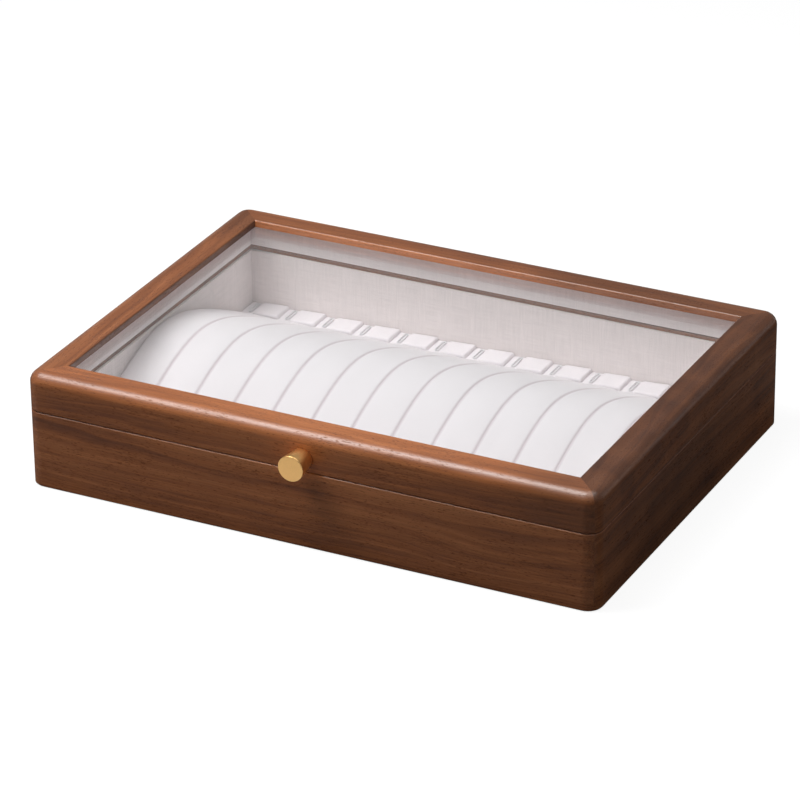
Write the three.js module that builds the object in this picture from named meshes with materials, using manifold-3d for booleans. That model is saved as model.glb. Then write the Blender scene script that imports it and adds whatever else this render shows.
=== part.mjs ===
// Necklace box: a walnut case with a glazed lid, a ribbed pad and a brass knob.
// Millimetres, +Z up, front towards -Y. The origin is the centre of the underside.
import * as THREE from 'three';
import { mergeVertices } from 'three/addons/utils/BufferGeometryUtils.js';
import Module from 'manifold-3d';

const wasm = await Module();
wasm.setup();

// Case outline
const caseWidth = 350;
const caseDepth = 256;
const baseHeight = 46.6;
const lidHeight = 23.1;
const seamGap = 0.3;
const cornerRadius = 9;
const wallThickness = 10;
const footChamfer = 0.8;
const seamChamfer = 0.5;

// Lid frame
const railWidth = 18.4;
const lipDepth = 4.2;
const lipRound = 1.2;
const topRound = 7;
const glassThickness = 3;
const glassBevel = 0.4;

// Clearances shared by all pieces, and the overrun that all cuts share
const fitGap = 0.3;
const mitreGap = 0.3;
const cutOverrun = 1;
const weldDistance = 0.0001;

// Bottom and lining
const panelThickness = 5;
const rabbetDepth = 5;
const liningThickness = 1.8;
const liningRound = 0.7;
const liningSetback = 1;
const boardThickness = 3;

// Ribbed pad
const padSideGap = 0.5;
const laneWidth = 25;
const grooveDepth = 1.5;
const crestDrop = 1.3;
const crestBend = 48;
const padEdgeHeight = 3.2;
const padTuck = 0.9;
const troughDepth = 28.5;

// Clasp rail behind the pad, with one raised tab and one elastic loop for each lane
const claspRailDepth = 16.5;
const claspRailThickness = 2;
const tabHeight = 2.4;
const tabLowHeight = 1.5;
const tabRound = 1;
const tabWidthShare = 0.7;
const loopCordRadius = 0.35;
const loopWidth = 2;
const loopLength = 12;
const loopInset = 1.5;

// Knob and its screw
const knobRise = 8;
const knobLength = 14;
const knobBackRadius = 6.2;
const knobFaceRadius = 7.6;
const knobChamfer = 0.4;
const knobScrewRadius = 2;
const knobScrewGrip = 9;
const knobScrewHeadRadius = 3.6;
const knobScrewHeadHeight = 2.2;
const knobScrewHeadRound = 0.8;

// Stop hinges
const hingeInset = 62;
const hingeLength = 32;
const leafThickness = 1.2;
const leafWidth = 8.5;
const barrelRadius = 2.2;
const barrelGap = 0.3;
const knuckleGap = 0.4;
const pinRadius = 1;
const pinHeadRadius = 1.7;
const pinHeadHeight = 0.9;
const tongueReach = 1.8;
const tongueThickness = 1;
const lidOpenAngle = THREE.MathUtils.degToRad(95);
const hingeScrewInset = 6;
const hingeScrewLength = 8;
const hingeScrewRadius = 0.9;
const hingeScrewHeadRadius = 1.9;
const hingeScrewHeadHeight = 0.9;
const hingeScrewLand = 0.2;
const hingeScrewPoint = 1.6;

// Facets
const cornerSteps = 7;
const roundSteps = 6;
const lathSides = 28;
const boreSides = 16;
const laneStations = 19;
const cordSides = 5;
const loopBendSteps = 4;

// Across one lane of the pad: place in the lane, and height above the groove
const laneShapeShares = [
  [0, 0],
  [0.09, 0.7],
  [0.5, 1],
  [0.91, 0.7],
];

// Places worked out from the sizes above
const halfWidth = caseWidth / 2;
const halfDepth = caseDepth / 2;
const lidBottom = baseHeight + seamGap;
const lidTop = lidBottom + lidHeight;
const wallInsideX = halfWidth - wallThickness;
const wallInsideY = halfDepth - wallThickness;
const insideX = wallInsideX - fitGap - liningThickness;
const insideY = wallInsideY - fitGap - liningThickness;
const liningBottom = panelThickness + fitGap;
const glassTop = lidTop - lipDepth - fitGap;
const glassBottom = glassTop - glassThickness;
const padBottom = liningBottom + boardThickness + fitGap;
const padHalfX = insideX - padSideGap;
const laneCount = Math.round((2 * padHalfX) / laneWidth);
const lanePitch = (2 * padHalfX) / laneCount;
const claspRailRear = insideY - fitGap;
const claspRailFront = claspRailRear - claspRailDepth;
const padRear = claspRailFront - fitGap;
const padFront = troughDepth - insideY;
const claspFloor = padBottom + claspRailThickness;
const tabWidth = lanePitch * tabWidthShare;
const hingeY = halfDepth + barrelGap + barrelRadius;
const hingeZ = baseHeight + seamGap / 2;
const knobZ = lidBottom + knobRise;
const quarterTurn = Math.PI / 2;

// Materials
const walnut = new THREE.MeshStandardMaterial({ color: 0x6b4330, roughness: 0.5 });
const plywood = new THREE.MeshStandardMaterial({ color: 0x5a3a2a, roughness: 0.7 });
const glass = new THREE.MeshStandardMaterial({ color: 0xeef3f3, roughness: 0.05, transparent: true, opacity: 0.3 });
const linen = new THREE.MeshStandardMaterial({ color: 0xd8cfc8, roughness: 0.95 });
const velvet = new THREE.MeshStandardMaterial({ color: 0xf2eff1, roughness: 1 });
const elastic = new THREE.MeshStandardMaterial({ color: 0xe4e0e0, roughness: 0.8 });
const brass = new THREE.MeshStandardMaterial({ color: 0xd6a661, roughness: 0.35, metalness: 1 });
const steel = new THREE.MeshStandardMaterial({ color: 0xb8b9ba, roughness: 0.35, metalness: 1 });

// Solids: joins and cuts work on closed bodies, and meshes come back from them
function toSolid(geometry) {
  const bare = geometry.clone();
  bare.deleteAttribute('normal');
  bare.deleteAttribute('uv');
  const merged = mergeVertices(bare, weldDistance);
  return new wasm.Manifold(new wasm.Mesh({
    numProp: 3,
    vertProperties: new Float32Array(merged.attributes.position.array),
    triVerts: new Uint32Array(merged.index.array),
  }));
}

function toGeometry(solid) {
  const mesh = solid.getMesh();
  const geometry = new THREE.BufferGeometry();
  geometry.setAttribute('position', new THREE.BufferAttribute(mesh.vertProperties, mesh.numProp));
  geometry.setIndex(new THREE.BufferAttribute(mesh.triVerts, 1));
  geometry.computeVertexNormals();
  return geometry;
}

// A block between two corners
function blockBetween(low, high) {
  const block = new THREE.BoxGeometry(high[0] - low[0], high[1] - low[1], high[2] - low[2]);
  block.translate((low[0] + high[0]) / 2, (low[1] + high[1]) / 2, (low[2] + high[2]) / 2);
  return block;
}

// A block centred on the origin in plan
function slab(halfX, halfY, bottom, top) {
  return blockBetween([-halfX, -halfY, bottom], [halfX, halfY, top]);
}

// A rectangle in plan with rounded corners
function roundedOutline(halfX, halfY, radius) {
  const centres = [[1, 1], [-1, 1], [-1, -1], [1, -1]];
  return centres.flatMap(([signX, signY], quarter) => {
    const points = [];
    for (let step = 0; step <= cornerSteps; step += 1) {
      const angle = (quarter + step / cornerSteps) * quarterTurn;
      const x = signX * (halfX - radius) + radius * Math.cos(angle);
      const y = signY * (halfY - radius) + radius * Math.sin(angle);
      points.push(new THREE.Vector2(x, y));
    }
    return points;
  });
}

function squareOutline(halfX, halfY) {
  return [[1, 1], [-1, 1], [-1, -1], [1, -1]].map(([x, y]) => new THREE.Vector2(x * halfX, y * halfY));
}

// Joins level outlines with equal point counts, from the bottom up, into one closed body
function loft(layers) {
  const count = layers[0].outline.length;
  const positions = layers.flatMap(({ outline, z }) => outline.flatMap((point) => [point.x, point.y, z]));
  const index = [];
  for (let layer = 1; layer < layers.length; layer += 1) {
    for (let i = 0; i < count; i += 1) {
      const next = (i + 1) % count;
      const below = (layer - 1) * count;
      const above = layer * count;
      index.push(below + i, below + next, above + next);
      index.push(below + i, above + next, above + i);
    }
  }
  const last = (layers.length - 1) * count;
  for (const [a, b, c] of THREE.ShapeUtils.triangulateShape(layers[0].outline, [])) {
    index.push(a, c, b);
    index.push(last + a, last + b, last + c);
  }
  const geometry = new THREE.BufferGeometry();
  geometry.setAttribute('position', new THREE.Float32BufferAttribute(positions, 3));
  geometry.setIndex(index);
  geometry.computeVertexNormals();
  return geometry;
}

// A profile of [across, up] points carried along X, from -halfLength to +halfLength, as [X, Y, Z]
function alongX(profile, halfLength) {
  const shape = new THREE.Shape(profile.map(([across, up]) => new THREE.Vector2(across, up)));
  const bar = new THREE.ExtrudeGeometry(shape, { depth: 2 * halfLength, bevelEnabled: false });
  bar.translate(0, 0, -halfLength);
  bar.rotateX(quarterTurn);
  bar.rotateZ(quarterTurn);
  return bar;
}

// A quarter arc as [across, up] points
function quarterArc(centreAcross, centreUp, radius, firstQuarter) {
  const points = [];
  for (let step = 0; step <= roundSteps; step += 1) {
    const angle = (firstQuarter + step / roundSteps) * quarterTurn;
    points.push([centreAcross + radius * Math.cos(angle), centreUp + radius * Math.sin(angle)]);
  }
  return points;
}

// A turned body from [radius, height] points, with its axis along Z
function turned(profile, sides) {
  const points = profile.map(([radius, height]) => new THREE.Vector2(radius, height));
  const body = new THREE.LatheGeometry(points, sides);
  body.rotateX(quarterTurn);
  return body;
}

function cylinderAlongX(radius, halfLength, sides) {
  const cylinder = new THREE.CylinderGeometry(radius, radius, 2 * halfLength, sides);
  cylinder.rotateZ(quarterTurn);
  return cylinder;
}

// Case outline at an inset, with the corner radius kept above nothing
function caseOutline(inset) {
  const radius = Math.max(cornerRadius - inset, fitGap);
  return roundedOutline(halfWidth - inset, halfDepth - inset, radius);
}

// The four sides, each with half its length and its distance from the centre
const sides = [
  { name: 'rear', half: halfWidth, away: halfDepth, turn: 0 },
  { name: 'left', half: halfDepth, away: halfWidth, turn: 1 },
  { name: 'front', half: halfWidth, away: halfDepth, turn: 2 },
  { name: 'right', half: halfDepth, away: halfWidth, turn: 3 },
];

// The wedge that one mitred side takes out of a frame
function mitreWedge({ half, away, turn }, bottom, top) {
  const shift = mitreGap / Math.SQRT2;
  const reach = railWidth + cutOverrun;
  const shape = new THREE.Shape([
    new THREE.Vector2(reach + shift - half, away - reach),
    new THREE.Vector2(half - reach - shift, away - reach),
    new THREE.Vector2(half + cutOverrun - shift, away + cutOverrun),
    new THREE.Vector2(shift - cutOverrun - half, away + cutOverrun),
  ]);
  const wedge = new THREE.ExtrudeGeometry(shape, { depth: top - bottom + 2 * cutOverrun, bevelEnabled: false });
  wedge.translate(0, 0, bottom - cutOverrun);
  wedge.rotateZ(turn * quarterTurn);
  return toSolid(wedge);
}

// Base frame: rounded corners, a fine chamfer at foot and seam, and a rabbet for the bottom
function baseFrame() {
  const shell = toSolid(loft([
    { outline: caseOutline(footChamfer), z: 0 },
    { outline: caseOutline(0), z: footChamfer },
    { outline: caseOutline(0), z: baseHeight - seamChamfer },
    { outline: caseOutline(seamChamfer), z: baseHeight },
  ]));
  const cavity = toSolid(slab(wallInsideX, wallInsideY, -cutOverrun, baseHeight + cutOverrun));
  const rabbetX = wallInsideX + rabbetDepth;
  const rabbetY = wallInsideY + rabbetDepth;
  const rabbet = toSolid(slab(rabbetX, rabbetY, -cutOverrun, panelThickness + fitGap));
  return shell.subtract(cavity).subtract(rabbet);
}

// Lid frame: a full round on the outer top edge, a small one on the lip, and a glass rabbet
function lidFrame() {
  const layers = [
    { outline: caseOutline(seamChamfer), z: lidBottom },
    { outline: caseOutline(0), z: lidBottom + seamChamfer },
  ];
  for (let step = 0; step <= roundSteps; step += 1) {
    const angle = (step / roundSteps) * quarterTurn;
    const inset = topRound * (1 - Math.cos(angle));
    layers.push({ outline: caseOutline(inset), z: lidTop - topRound * (1 - Math.sin(angle)) });
  }
  const pocket = toSolid(slab(wallInsideX, wallInsideY, lidBottom - cutOverrun, lidTop - lipDepth));
  return toSolid(loft(layers)).subtract(lidOpening()).subtract(pocket);
}

// The window in the lid, flared by the lip's rounded edge
function lidOpening() {
  const openX = halfWidth - railWidth;
  const openY = halfDepth - railWidth;
  const layers = [{ outline: squareOutline(openX, openY), z: glassBottom }];
  for (let step = 0; step <= roundSteps; step += 1) {
    const angle = (step / roundSteps) * quarterTurn;
    const flare = lipRound * (1 - Math.cos(angle));
    const z = lidTop - lipRound * (1 - Math.sin(angle));
    layers.push({ outline: squareOutline(openX + flare, openY + flare), z });
  }
  layers.push({ outline: squareOutline(openX + lipRound, openY + lipRound), z: lidTop + cutOverrun });
  return toSolid(loft(layers));
}

// A countersunk wood screw below zero height; spare and headroom widen it into its hole
function woodScrew(spare, headroom, down) {
  const shank = hingeScrewRadius + spare;
  const head = hingeScrewHeadRadius + spare;
  const tip = -hingeScrewLength - spare;
  const screw = turned([
    [0, tip],
    [shank, tip + hingeScrewPoint],
    [shank, -hingeScrewHeadHeight - spare],
    [head, -hingeScrewLand - spare],
    [head, headroom],
    [0, headroom],
  ], boreSides);
  if (down < 0) screw.rotateX(2 * quarterTurn);
  return screw;
}

// Where the hinges and their screws sit
const hingePlaces = [
  { side: 'left', x: hingeInset - halfWidth },
  { side: 'right', x: halfWidth - hingeInset },
];
const screwY = halfDepth - leafWidth / 2;
const screwPlaces = [
  { mark: 'a', x: hingeScrewInset - hingeLength / 2 },
  { mark: 'b', x: hingeLength / 2 - hingeScrewInset },
];

// Which way a leaf lies from the seam: the base leaf downwards, the lid leaf upwards
const leafSides = [
  { body: 'base', face: baseHeight, down: 1 },
  { body: 'lid', face: lidBottom, down: -1 },
];

// A block that starts at a leaf's seam face and goes into its own body
function intoBody(face, down, low, high, startHeight, depth) {
  const start = face + down * startHeight;
  const end = face - down * depth;
  return blockBetween([...low, Math.min(start, end)], [...high, Math.max(start, end)]);
}

// Mortises and screw holes of both hinges in one of the two rear boards
function cutHingeSeats(board, { face, down }) {
  return hingePlaces.reduce((solid, { x }) => {
    const halfLength = hingeLength / 2 + fitGap;
    const low = [x - halfLength, halfDepth - leafWidth - fitGap];
    const high = [x + halfLength, halfDepth + cutOverrun];
    const mortise = toSolid(intoBody(face, down, low, high, cutOverrun, leafThickness + fitGap));
    const holes = screwPlaces.map((place) => screwHole(x + place.x, screwY, face, down));
    return holes.reduce((rest, hole) => rest.subtract(hole), solid.subtract(mortise));
  }, board);
}

function screwHole(x, y, z, down) {
  const hole = woodScrew(fitGap, cutOverrun, down);
  hole.translate(x, y, z);
  return toSolid(hole);
}

// The hole through the front rail for the knob's screw, with a pocket for its head
function cutKnobHole(board) {
  const radius = knobScrewRadius + fitGap;
  const headRadius = knobScrewHeadRadius + fitGap;
  const pocketDepth = knobScrewHeadHeight + 2 * fitGap;
  const hole = turned([
    [0, -cutOverrun],
    [headRadius, -cutOverrun],
    [headRadius, pocketDepth],
    [radius, pocketDepth],
    [radius, wallThickness + cutOverrun],
    [0, wallThickness + cutOverrun],
  ], boreSides);
  hole.rotateX(quarterTurn);
  hole.translate(0, -wallInsideY, knobZ);
  return board.subtract(toSolid(hole));
}

// Glass pane with arrised edges
function glassPane() {
  const paneX = wallInsideX - fitGap;
  const paneY = wallInsideY - fitGap;
  const inner = squareOutline(paneX - glassBevel, paneY - glassBevel);
  return loft([
    { outline: inner, z: glassBottom },
    { outline: squareOutline(paneX, paneY), z: glassBottom + glassBevel },
    { outline: squareOutline(paneX, paneY), z: glassTop - glassBevel },
    { outline: inner, z: glassTop },
  ]);
}

// A lining board of wrapped card, standing on its side's wall, with its inner edges rounded
function liningBoard({ half, away, turn }, bottom, top) {
  const outer = away - wallThickness - fitGap;
  const inner = outer - liningThickness;
  const profile = [
    [outer, bottom],
    [outer, top],
    ...quarterArc(inner + liningRound, top - liningRound, liningRound, 1),
    ...quarterArc(inner + liningRound, bottom + liningRound, liningRound, 2),
  ];
  const between = turn % 2 === 1 ? liningThickness + fitGap : 0;
  const board = alongX(profile, half - wallThickness - fitGap - between);
  board.rotateZ(turn * quarterTurn);
  return board;
}

// Height of the pad's grooves at y: a rounded crest that runs out into straight slopes
function padSurface(y) {
  const middle = (padFront + padRear) / 2;
  const span = (padRear - padFront) / 2;
  const crest = baseHeight - crestDrop - grooveDepth;
  const foot = padBottom + padEdgeHeight - grooveDepth;
  const fall = (distance) => Math.hypot(crestBend, distance) - crestBend;
  return crest - ((crest - foot) * fall(y - middle)) / fall(span);
}

// The ribbed pad: crowned lanes side by side over one long crest, drawn in at the foot
function ribbedPad() {
  const across = [];
  for (let lane = 0; lane < laneCount; lane += 1) {
    laneShapeShares.forEach(([place, height]) => {
      across.push({ x: (lane + place) * lanePitch - padHalfX, rise: height * grooveDepth });
    });
  }
  across.push({ x: padHalfX, rise: 0 });
  const along = [];
  for (let station = 0; station < laneStations; station += 1) {
    along.push(padFront + ((padRear - padFront) * station) / (laneStations - 1));
  }
  const positions = along.flatMap((y) => across.flatMap(({ x, rise }) => [x, y, padSurface(y) + rise]));
  return closeBelow(positions, across.length, along.length, padBottom, padTuck);
}

// Closes a surface of columns by rows with side walls and a level underside that is tucked in
function closeBelow(positions, columns, rows, bottom, tuck) {
  const index = [];
  for (let row = 1; row < rows; row += 1) {
    for (let column = 1; column < columns; column += 1) {
      const corner = row * columns + column;
      index.push(corner - columns - 1, corner - columns, corner);
      index.push(corner - columns - 1, corner, corner - 1);
    }
  }
  const rim = rimOf(columns, rows);
  const first = positions.length / 3;
  const underside = rim.map((vertex) => {
    const x = positions[3 * vertex];
    const y = positions[3 * vertex + 1];
    const tuckedX = vertex % columns === 0 ? x + tuck : x - (vertex % columns === columns - 1 ? tuck : 0);
    const tuckedY = vertex < columns ? y + tuck : y - (vertex >= columns * (rows - 1) ? tuck : 0);
    positions.push(tuckedX, tuckedY, bottom);
    return new THREE.Vector2(tuckedX, tuckedY);
  });
  rim.forEach((vertex, i) => {
    const next = (i + 1) % rim.length;
    index.push(first + i, first + next, rim[next]);
    index.push(first + i, rim[next], vertex);
  });
  for (const [a, b, c] of THREE.ShapeUtils.triangulateShape(underside, [])) {
    index.push(first + a, first + c, first + b);
  }
  const geometry = new THREE.BufferGeometry();
  geometry.setAttribute('position', new THREE.Float32BufferAttribute(positions, 3));
  geometry.setIndex(index);
  geometry.computeVertexNormals();
  return geometry;
}

// The border of a grid of vertices, anticlockwise from its first one
function rimOf(columns, rows) {
  const rim = [];
  for (let column = 0; column < columns - 1; column += 1) rim.push(column);
  for (let row = 0; row < rows - 1; row += 1) rim.push(row * columns + columns - 1);
  for (let column = columns - 1; column > 0; column -= 1) rim.push((rows - 1) * columns + column);
  for (let row = rows - 1; row > 0; row -= 1) rim.push(row * columns);
  return rim;
}

// The clasp rail: a comb of tabs that rise to the right, with rounded front and rear edges
function claspRail() {
  const comb = [[-padHalfX, padBottom], [padHalfX, padBottom]];
  for (let lane = laneCount; lane > 0; lane -= 1) {
    const right = lane * lanePitch - padHalfX;
    comb.push([right, claspFloor + tabHeight]);
    comb.push([right - tabWidth, claspFloor + tabLowHeight]);
    comb.push([right - tabWidth, claspFloor]);
    comb.push([right - lanePitch, claspFloor]);
  }
  const shape = new THREE.Shape(comb.map(([x, z]) => new THREE.Vector2(x, z)));
  const bar = new THREE.ExtrudeGeometry(shape, { depth: claspRailDepth, bevelEnabled: false });
  bar.rotateX(quarterTurn);
  bar.translate(0, claspRailRear, 0);
  const roundZ = claspFloor + tabHeight - tabRound;
  const side = alongX([
    [claspRailFront - cutOverrun, padBottom - cutOverrun],
    [claspRailRear + cutOverrun, padBottom - cutOverrun],
    [claspRailRear + cutOverrun, claspFloor],
    [claspRailRear, claspFloor],
    ...quarterArc(claspRailRear - tabRound, roundZ, tabRound, 0),
    ...quarterArc(claspRailFront + tabRound, roundZ, tabRound, 1),
    [claspRailFront, claspFloor],
    [claspRailFront - cutOverrun, claspFloor],
  ], padHalfX + cutOverrun);
  return toGeometry(toSolid(bar).intersect(toSolid(side)));
}

// A flat closed loop of elastic cord: two straight runs along Y joined by half turns
function elasticLoop() {
  const bend = loopWidth / 2;
  const straight = loopLength / 2 - bend;
  const route = [];
  for (const end of [1, -1]) {
    for (let step = 0; step <= loopBendSteps; step += 1) {
      const angle = (step / loopBendSteps) * 2 * quarterTurn;
      const outward = new THREE.Vector2(end * Math.cos(angle), end * Math.sin(angle));
      route.push({ x: bend * outward.x, y: end * straight + bend * outward.y, outward });
    }
  }
  const positions = route.flatMap(({ x, y, outward }) => {
    const ring = [];
    for (let side = 0; side < cordSides; side += 1) {
      const angle = (side / cordSides) * 4 * quarterTurn;
      const out = loopCordRadius * Math.cos(angle);
      ring.push(x + out * outward.x, y + out * outward.y, loopCordRadius * Math.sin(angle));
    }
    return ring;
  });
  const index = [];
  route.forEach((point, i) => {
    const here = i * cordSides;
    const ahead = ((i + 1) % route.length) * cordSides;
    for (let side = 0; side < cordSides; side += 1) {
      const next = (side + 1) % cordSides;
      index.push(here + side, ahead + side, ahead + next);
      index.push(here + side, ahead + next, here + next);
    }
  });
  const geometry = new THREE.BufferGeometry();
  geometry.setAttribute('position', new THREE.Float32BufferAttribute(positions, 3));
  geometry.setIndex(index);
  geometry.computeVertexNormals();
  return geometry;
}

// The knob: a cone that widens to a flat face, with a blind screw hole in its back
function knobBody() {
  const boreRadius = knobScrewRadius + fitGap;
  const boreDepth = knobScrewGrip + fitGap;
  return turned([
    [0, boreDepth],
    [boreRadius, boreDepth],
    [boreRadius, 0],
    [knobBackRadius - knobChamfer, 0],
    [knobBackRadius, knobChamfer],
    [knobFaceRadius, knobLength - knobChamfer],
    [knobFaceRadius - knobChamfer, knobLength],
    [0, knobLength],
  ], lathSides);
}

// The knob's screw, from the top of its head at zero to its tip in the knob
function knobScrew() {
  const tip = wallThickness + knobScrewGrip;
  return turned([
    [0, 0],
    [knobScrewHeadRadius - knobScrewHeadRound, 0],
    [knobScrewHeadRadius, knobScrewHeadRound],
    [knobScrewHeadRadius, knobScrewHeadHeight],
    [knobScrewRadius, knobScrewHeadHeight],
    [knobScrewRadius, tip],
    [0, tip],
  ], boreSides);
}

// A hinge leaf round its own knuckles, with the pin's axis at the origin in Y and Z
function hingeLeaf({ body, face, down }) {
  const plateRear = halfDepth - hingeY;
  const seamFace = face - hingeZ;
  const halfLength = hingeLength / 2;
  const plateLow = [-halfLength, plateRear - leafWidth];
  const plate = toSolid(intoBody(seamFace, down, plateLow, [halfLength, plateRear], 0, leafThickness));
  const knuckles = knuckleSpans(body).map(([start, end]) => {
    const barrel = cylinderAlongX(barrelRadius, (end - start) / 2, boreSides);
    barrel.translate((start + end) / 2, 0, 0);
    const neckLow = [start, plateRear - leafThickness];
    const neck = intoBody(seamFace, down, neckLow, [end, 0], 0, leafThickness);
    return toSolid(barrel).add(toSolid(neck));
  });
  const stop = body === 'lid' ? [stopTongue(...knuckleSpans(body)[0])] : [];
  const bore = toSolid(cylinderAlongX(pinRadius + fitGap, hingeLength, boreSides));
  const whole = [...knuckles, ...stop].reduce((solid, piece) => solid.add(piece), plate);
  const holes = screwPlaces.map(({ x }) => screwHole(x, screwY - hingeY, seamFace, down));
  return toGeometry([bore, ...holes].reduce((solid, cut) => solid.subtract(cut), whole));
}

// Knuckles take turns along the barrel: base, lid, base
function knuckleSpans(body) {
  const knuckle = (hingeLength - 2 * knuckleGap) / 3;
  const inner = knuckle / 2;
  const outer = hingeLength / 2;
  if (body === 'lid') return [[-inner, inner]];
  return [[-outer, -inner - knuckleGap], [inner + knuckleGap, outer]];
}

// The tongue that comes to rest along the rear wall when the lid stands open
function stopTongue(start, end) {
  const low = [start, -barrelRadius, -barrelRadius - tongueReach];
  const tongue = blockBetween(low, [end, tongueThickness - barrelRadius, 0]);
  tongue.rotateX(lidOpenAngle);
  return toSolid(tongue);
}

// The hinge pin with a head at each end
function hingePin() {
  const shank = hingeLength / 2 + fitGap;
  const end = shank + pinHeadHeight;
  const pin = turned([
    [0, -end],
    [pinHeadRadius, -end],
    [pinHeadRadius, -shank],
    [pinRadius, -shank],
    [pinRadius, shank],
    [pinHeadRadius, shank],
    [pinHeadRadius, end],
    [0, end],
  ], boreSides);
  pin.rotateY(quarterTurn);
  return pin;
}

// Scene graph: the base, and the lid that turns on the hinges
const box = new THREE.Group();
const base = new THREE.Group();
const lid = new THREE.Group();
box.add(base, lid);

function place(parent, name, geometry, material, position = [0, 0, 0]) {
  const mesh = new THREE.Mesh(geometry, material);
  mesh.name = name;
  mesh.position.set(...position);
  parent.add(mesh);
  return mesh;
}

const baseRing = baseFrame();
const lidRing = lidFrame();
sides.forEach((side) => {
  const wall = baseRing.intersect(mitreWedge(side, 0, baseHeight));
  const rail = lidRing.intersect(mitreWedge(side, lidBottom, lidTop));
  const cutWall = side.name === 'rear' ? cutHingeSeats(wall, leafSides[0]) : wall;
  const hingedRail = side.name === 'rear' ? cutHingeSeats(rail, leafSides[1]) : rail;
  const cutRail = side.name === 'front' ? cutKnobHole(hingedRail) : hingedRail;
  place(base, `base_${side.name}`, toGeometry(cutWall), walnut);
  place(lid, `lid_${side.name}`, toGeometry(cutRail), walnut);
  place(base, `base_lining_${side.name}`, liningBoard(side, liningBottom, baseHeight - liningSetback), linen);
  const lidLining = liningBoard(side, lidBottom + liningSetback - seamGap, glassBottom - fitGap);
  place(lid, `lid_lining_${side.name}`, lidLining, linen);
});

const panelX = wallInsideX + rabbetDepth - fitGap;
const panelY = wallInsideY + rabbetDepth - fitGap;
place(base, 'bottom_panel', slab(panelX, panelY, 0, panelThickness), plywood);
const boardTop = liningBottom + boardThickness;
place(base, 'insert_board', slab(insideX - fitGap, insideY - fitGap, liningBottom, boardTop), velvet);
place(base, 'necklace_pad', ribbedPad(), velvet);
place(base, 'clasp_rail', claspRail(), velvet);
place(lid, 'glass_pane', glassPane(), glass);

for (let lane = 1; lane <= laneCount; lane += 1) {
  const x = lane * lanePitch - padHalfX - tabWidth - loopInset - loopWidth / 2;
  const y = (claspRailFront + claspRailRear) / 2;
  const z = claspFloor + fitGap + loopCordRadius;
  place(base, `clasp_loop_${String(lane).padStart(2, '0')}`, elasticLoop(), elastic, [x, y, z]);
}

const knob = knobBody();
knob.rotateX(quarterTurn);
place(lid, 'knob', knob, brass, [0, -halfDepth - fitGap, knobZ]);
const screw = knobScrew();
screw.rotateX(quarterTurn);
place(lid, 'knob_screw', screw, steel, [0, -wallInsideY - fitGap, knobZ]);

hingePlaces.forEach(({ side, x }) => {
  place(base, `hinge_leaf_base_${side}`, hingeLeaf(leafSides[0]), brass, [x, hingeY, hingeZ]);
  place(lid, `hinge_leaf_lid_${side}`, hingeLeaf(leafSides[1]), brass, [x, hingeY, hingeZ]);
  place(base, `hinge_pin_${side}`, hingePin(), brass, [x, hingeY, hingeZ]);
  leafSides.forEach(({ body, face, down }) => {
    screwPlaces.forEach((spot) => {
      const name = `hinge_screw_${body}_${side}_${spot.mark}`;
      place(body === 'lid' ? lid : base, name, woodScrew(0, 0, down), brass, [x + spot.x, screwY, face]);
    });
  });
});

export default box;
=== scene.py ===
"""A walnut necklace box with a glazed lid, a brass knob and a ribbed white pad, in metres."""
import math

import bmesh
import bpy
import numpy as np
from mathutils import Matrix, Vector


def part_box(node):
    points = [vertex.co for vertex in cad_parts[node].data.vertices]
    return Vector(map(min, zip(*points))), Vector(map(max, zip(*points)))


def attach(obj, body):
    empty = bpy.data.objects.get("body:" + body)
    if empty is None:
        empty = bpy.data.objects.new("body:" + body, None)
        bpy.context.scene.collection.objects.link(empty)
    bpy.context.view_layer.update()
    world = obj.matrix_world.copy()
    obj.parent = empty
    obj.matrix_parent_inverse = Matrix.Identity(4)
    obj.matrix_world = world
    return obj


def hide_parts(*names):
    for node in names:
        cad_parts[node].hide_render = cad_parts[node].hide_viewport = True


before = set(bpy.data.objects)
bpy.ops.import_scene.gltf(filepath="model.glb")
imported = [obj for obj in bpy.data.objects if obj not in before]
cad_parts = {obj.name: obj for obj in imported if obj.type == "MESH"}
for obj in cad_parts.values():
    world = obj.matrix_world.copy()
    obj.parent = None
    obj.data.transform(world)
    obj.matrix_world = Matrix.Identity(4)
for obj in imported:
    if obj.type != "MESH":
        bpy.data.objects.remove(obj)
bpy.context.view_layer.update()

MM = 0.001
# Corners of a solid closer than this are one corner
WELD = 0.002 * MM
# Least length that is divided by
TINY = 1e-12

# Camera, fitted to the edges of the object in the photograph
PHOTO_SIDE = 800
FOCAL_PIXELS = 4406.8
SENSOR = 36.0
VIEW_AZIMUTH = 26.894
VIEW_ELEVATION = 26.422
VIEW_ROLL = -0.665
VIEW_DISTANCE = 2513.5 * MM
VIEW_RIGHT = -5.03 * MM
VIEW_UP = 29.24 * MM
CLIP_NEAR = 0.1
CLIP_FAR = 20.0

# Angles in degrees: faces flatter to each other than this are made one
FLAT_ANGLE = 0.6
# Edges sharper than these are shaded sharp
WOOD_CREASE = 30
CLOTH_CREASE = 50
BRASS_CREASE = 40
# Edges sharper than this are rounded, with so many faces across the round
ROUNDED_ABOVE = 35
LINING_STEPS = 3
NODE_STEPS = 2

# Case: half its width and depth, and the tops of base and lid
CORNER_X = -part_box("base_left")[0].x
CORNER_Y = -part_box("base_front")[0].y
BASE_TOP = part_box("base_front")[1].z
LID_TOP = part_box("lid_front")[1].z

# Mitres: half of the gap in the solids, what is left of it here, and how close to it a corner lies
MITRE_HALF = 0.15 * MM
HAIRLINE_HALF = 0.02 * MM
MITRE_REACH = 0.03 * MM

# Linings: how far their edges are drawn back at the seam, how much of the edge moves, and its round
SEAM_FOLD = 0.7 * MM
SEAM_BAND = 0.75 * MM
LINING_ROUND = 0.35 * MM

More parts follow.
